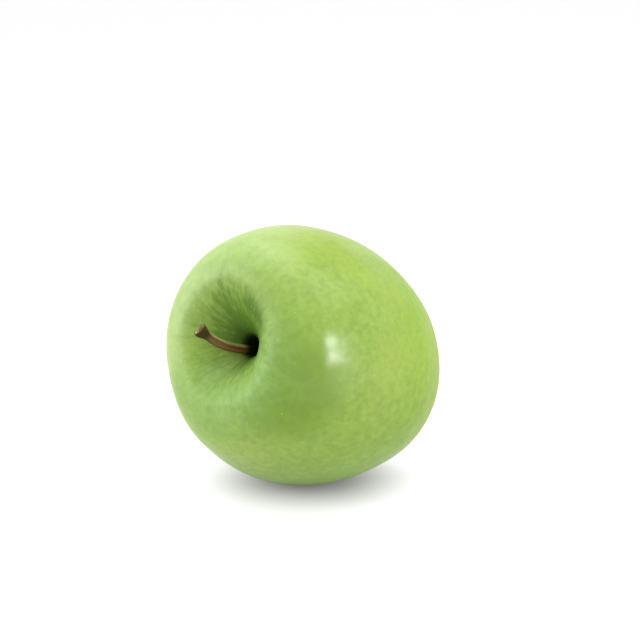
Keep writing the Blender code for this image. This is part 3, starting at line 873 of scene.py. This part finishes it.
def threadTuft(tree, count, ring, lengthInput, tiltLow, tiltHigh, seed, phase):
    # one thread, growing towards -Z, with a shrivelled knob at its tip
    look = stamenLook
    shell, angle, fromAxis, up = tube(tree, 8, 18)
    share = up * 0.5 + 0.5
    knob = bell(tree, share, 0.9, 0.09) * (look["tipRadius"] - look["radius"])
    close = 1 - ramp(tree, share, 0.96, 1.0)
    thick = (knob + look["radius"]) * fromAxis * close
    bend = share * share * look["bend"]
    drawn = combine(tree, calc(tree, "COSINE", angle) * thick + bend, calc(tree, "SINE", angle) * thick,
                    share * lengthInput * -1)
    thread = keepAttribute(tree, shell, "threadShare", "FLOAT", share)
    thread = moveTo(tree, thread, drawn)

    index = wireFrom(tree, "GeometryNodeInputIndex", 0, {})
    turn = index * (2 * math.pi / count) + phase
    foot = combine(tree, calc(tree, "COSINE", turn) * ring, calc(tree, "SINE", turn) * ring, 0.0)
    line = wireFrom(tree, "GeometryNodeMeshLine", "Mesh", {"Count": count, "Offset": (0, 0, 0)})
    spots = moveTo(tree, line, foot)
    tilt = wireFrom(tree, "FunctionNodeRandomValue", "Value",
                    {"Min": (-0.12, tiltLow, -0.3), "Max": (0.12, tiltHigh, 0.3), "Seed": seed},
                    data_type="FLOAT_VECTOR")
    tiltX, tiltY, tiltZ = split(tree, tilt)
    turned = combine(tree, tiltX, tiltY, tiltZ + turn)
    size = wireFrom(tree, "FunctionNodeRandomValue", "Value",
                    {"Min": 0.72, "Max": 1.0, "Seed": seed}, data_type="FLOAT")
    feeds = {"Points": spots, "Instance": thread, "Rotation": turned,
             "Scale": combine(tree, 1.0, 1.0, size)}
    return wireFrom(tree, "GeometryNodeInstanceOnPoints", 0, feeds)


def makeStamenTree(dry):
    look = stamenLook
    inputs = {"Dry": dry, "Length": look["length"], "Seed": look["seed"]}
    tree, given = newTree("growStamens", inputs)
    outer = threadTuft(tree, look["stamens"], look["ring"], given["Length"], -0.24, -0.06,
                       given["Seed"], 0.2)
    inner = threadTuft(tree, look["styles"], look["styleRing"], given["Length"] * 0.85, -0.12, -0.02,
                       given["Seed"] + 3, 0.6)
    mound, angle, fromAxis, up = tube(tree, 40, 14)
    share = up * 0.5 + 0.5
    dome = calc(tree, "SQRT", 1 - calc(tree, "POWER", share, 3.0) * 0.999)
    radius = look["coreRadius"] * dome * fromAxis
    drawn = combine(tree, calc(tree, "COSINE", angle) * radius, calc(tree, "SINE", angle) * radius,
                    tubeDepth - look["coreSeat"] - share * look["coreRise"])
    mound = moveTo(tree, mound, drawn)
    whole = tree.nodes.new("GeometryNodeJoinGeometry")
    for tuft in (outer, inner, mound):
        tree.links.new(tuft.socket, whole.inputs[0])
    seated = wireFrom(tree, "GeometryNodeTransform", 0,
                      {"Geometry": Wire(tree, whole.outputs[0]), "Translation": (0, 0, basinFloor)})
    endTree(tree, seated, given["Dry"])
    return tree


def makeDryThread():
    look = stamenLook
    material, tree, shader = newMaterial("dryStamen")
    place = wireFrom(tree, "ShaderNodeTexCoord", "Object", {})
    share = attributeWire(tree, "threadShare", "Fac")
    blotch = noise(tree, place, 1500.0, 3.0)
    tips = ramp(tree, share, 0.78, 0.9) * ramp(tree, blotch, 0.4, 0.6)
    plug(tree, shader.inputs["Base Color"], blend(tree, tips, look["threadBrown"], look["tipDust"]))
    shader.inputs["Roughness"].default_value = 0.8
    bumped = addNode(tree, "ShaderNodeBump", {"Strength": 0.5, "Distance": 0.05 * mm, "Height": blotch})
    plug(tree, shader.inputs["Normal"], Wire(tree, bumped.outputs["Normal"]))
    return material


dryThread = makeDryThread()
stamens = growPiece("calyxStamens", makeStamenTree(dryThread), {"Dry": dryThread})
finishPiece(stamens, "calyx_stamens")


# Studio: a white sweep that rises all round, soft boxes, and the camera

studio = {
    "floorRadius": 1.5,
    "sweepRadius": 2.6,
    "sweepHeight": 1.6,
    "sweepSteps": 24,
    "sweepSides": 96,
    "floorGlow": 0.82,
    "paintedShadowGlow": 0.13,  # painted shadow: the floor glows less where the apple stands
    "glowStart": 7 * mm,  # the floor's glow grows from here outwards
    "glowEnd": 36 * mm,
    "wallGlow": 0.42,  # all round, but brighter on one side
    "whiteTowards": 129.57,  # the middle of the brighter side, counted from +X
    "wallGreyFrom": 28,  # degrees to either side of it
    "wallGreyTo": 60,
    "floorColour": (0.27, 0.27, 0.27, 1),
    "wallColour": (0.32, 0.32, 0.32, 1),
    "skyColour": (1.0, 1.0, 1.0, 1),
    "skyStrength": 0.02,
    "cameraAzimuth": 39.57,
    "cameraDistance": 0.400,
    "cameraHeight": 0.1345,
    "cameraRight": 4.27 * mm,
    "cameraPitch": 12.12,
    "lens": 79.0,
    "sensor": 36,
    # name: (azimuth, elevation, distance, width, height, power)
    # azimuth 0 is the camera's side of the apple, and 90 its right
    "softBoxes": {
        "overheadBox": (-60, 82, 1.0, 1.6, 1.6, 13.1),
        "rightTopBox": (85, 58, 1.0, 0.9, 0.8, 3.3),
        "rightBox": (100, 26, 1.0, 0.8, 0.7, 0.5),
        "backTopBox": (-150, 52, 1.0, 0.8, 0.7, 1.8),
        "leftBox": (-96, 12, 1.0, 1.4, 0.5, 5.6),
        "highlightUpper": (49.5, 20, 0.9, 0.26, 0.18, 1.5),
        "highlightLower": (48.2, 8.5, 0.9, 0.20, 0.20, 1.45),
    },
}
heart = Vector((0, 0, fruitLook["diameter"] / 2))  # what the soft boxes aim at


def makeSweep():
    look = studio
    steps = look["sweepSteps"]
    reach = look["sweepRadius"] - look["floorRadius"]
    profile = [(0.0, 0.0), (look["floorRadius"] / 5, 0.0), (look["floorRadius"], 0.0)]
    for step in range(1, steps + 1):
        turn = math.pi / 2 * step / steps
        profile.append((look["floorRadius"] + reach * math.sin(turn),
                        look["sweepHeight"] * (1 - math.cos(turn))))
    data = bpy.data.meshes.new("sweepProfile")
    data.from_pydata([(x, 0, z) for x, z in profile], [(i, i + 1) for i in range(len(profile) - 1)], [])
    sweep = newObject("studioSweep", data)
    screw = sweep.modifiers.new("turn", "SCREW")
    screw.steps = screw.render_steps = look["sweepSides"]
    screw.use_merge_vertices = True
    screw.merge_threshold = 0.00001
    graph = bpy.context.evaluated_depsgraph_get()
    turned = bpy.data.meshes.new_from_object(sweep.evaluated_get(graph))
    sweep.modifiers.remove(screw)
    sweep.data = turned
    turned.shade_smooth()
    turned.flip_normals()

    material, tree, shader = newMaterial("whiteSweep")
    place = wireFrom(tree, "ShaderNodeTexCoord", "Object", {})
    x, y, z = split(tree, place)
    away = calc(tree, "SQRT", x * x + y * y)
    plug(tree, shader.inputs["Base Color"],
         blend(tree, ramp(tree, away, 0.6, 1.5), look["floorColour"], look["wallColour"]))
    shader.inputs["Roughness"].default_value = 0.6
    shader.inputs["Specular IOR Level"].default_value = 0.2
    shader.inputs["Emission Color"].default_value = (1, 1, 1, 1)
    # painted shadow: the floor's glow dimmed round the apple's foot
    glow = ramp(tree, away, look["glowStart"], look["glowEnd"], look["paintedShadowGlow"], look["floorGlow"])
    middle = math.radians(look["whiteTowards"])
    behind = (y * math.sin(middle) + x * math.cos(middle)) / away
    greyFrom = math.cos(math.radians(look["wallGreyFrom"]))
    greyTo = math.cos(math.radians(look["wallGreyTo"]))
    grey = ramp(tree, behind, greyFrom, greyTo) * ramp(tree, away, 0.4, 1.4)
    plug(tree, shader.inputs["Emission Strength"], glow + (look["wallGlow"] - glow) * grey)
    turned.materials.append(material)


def makeSky():
    world = bpy.data.worlds.new("studioSky")
    world.use_nodes = True
    scene.world = world
    background = world.node_tree.nodes["Background"]
    background.inputs["Color"].default_value = studio["skyColour"]
    background.inputs["Strength"].default_value = studio["skyStrength"]


def makeSoftBox(name, place, width, height, power):  # aimed at the apple, brightest in its middle
    data = bpy.data.lights.new(name, "AREA")
    data.shape = "RECTANGLE"
    data.size = width
    data.size_y = height
    data.energy = power
    data.use_nodes = True
    tree = data.node_tree
    across, along, unused = split(tree, wireFrom(tree, "ShaderNodeNewGeometry", "Parametric", {}))
    hump = calc(tree, "SINE", across * math.pi) * calc(tree, "SINE", along * math.pi)
    plug(tree, tree.nodes["Emission"].inputs["Strength"], hump * math.pi ** 2 / 4)  # 1 on average
    box = newObject(name, data)
    box.location = place
    box.rotation_euler = (heart - box.location).to_track_quat("-Z", "Y").to_euler()
    box.visible_camera = False


def makeCamera():
    look = studio
    low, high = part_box("fruit")
    centre = Vector(((low.x + high.x) / 2, (low.y + high.y) / 2, 0))
    azimuth = math.radians(look["cameraAzimuth"])
    pitch = math.radians(look["cameraPitch"])
    right = Vector((math.cos(azimuth), math.sin(azimuth), 0))
    ahead = Vector((-math.sin(azimuth), math.cos(azimuth), 0))
    view = ahead * math.cos(pitch) - Vector((0, 0, math.sin(pitch)))
    data = bpy.data.cameras.new("studioCamera")
    data.lens = look["lens"]
    data.sensor_width = look["sensor"]
    data.clip_start = 0.01
    camera = newObject("studioCamera", data)
    camera.location = centre - ahead * look["cameraDistance"] + right * look["cameraRight"]
    camera.location.z = look["cameraHeight"]
    camera.rotation_euler = view.to_track_quat("-Z", "Y").to_euler()
    scene.camera = camera


def around(azimuth, elevation, distance):  # a place round the apple
    turn = math.radians(studio["cameraAzimuth"] + azimuth - 90)
    rise = math.radians(elevation)
    level = Vector((math.cos(turn), math.sin(turn), 0))
    return heart + (level * math.cos(rise) + Vector((0, 0, math.sin(rise)))) * distance


makeSweep()
makeSky()
makeCamera()
for boxName, (azimuth, elevation, distance, *sizeAndPower) in studio["softBoxes"].items():
    makeSoftBox(boxName, around(azimuth, elevation, distance), *sizeAndPower)
scene.view_settings.view_transform = "Standard"
print("studio ready")
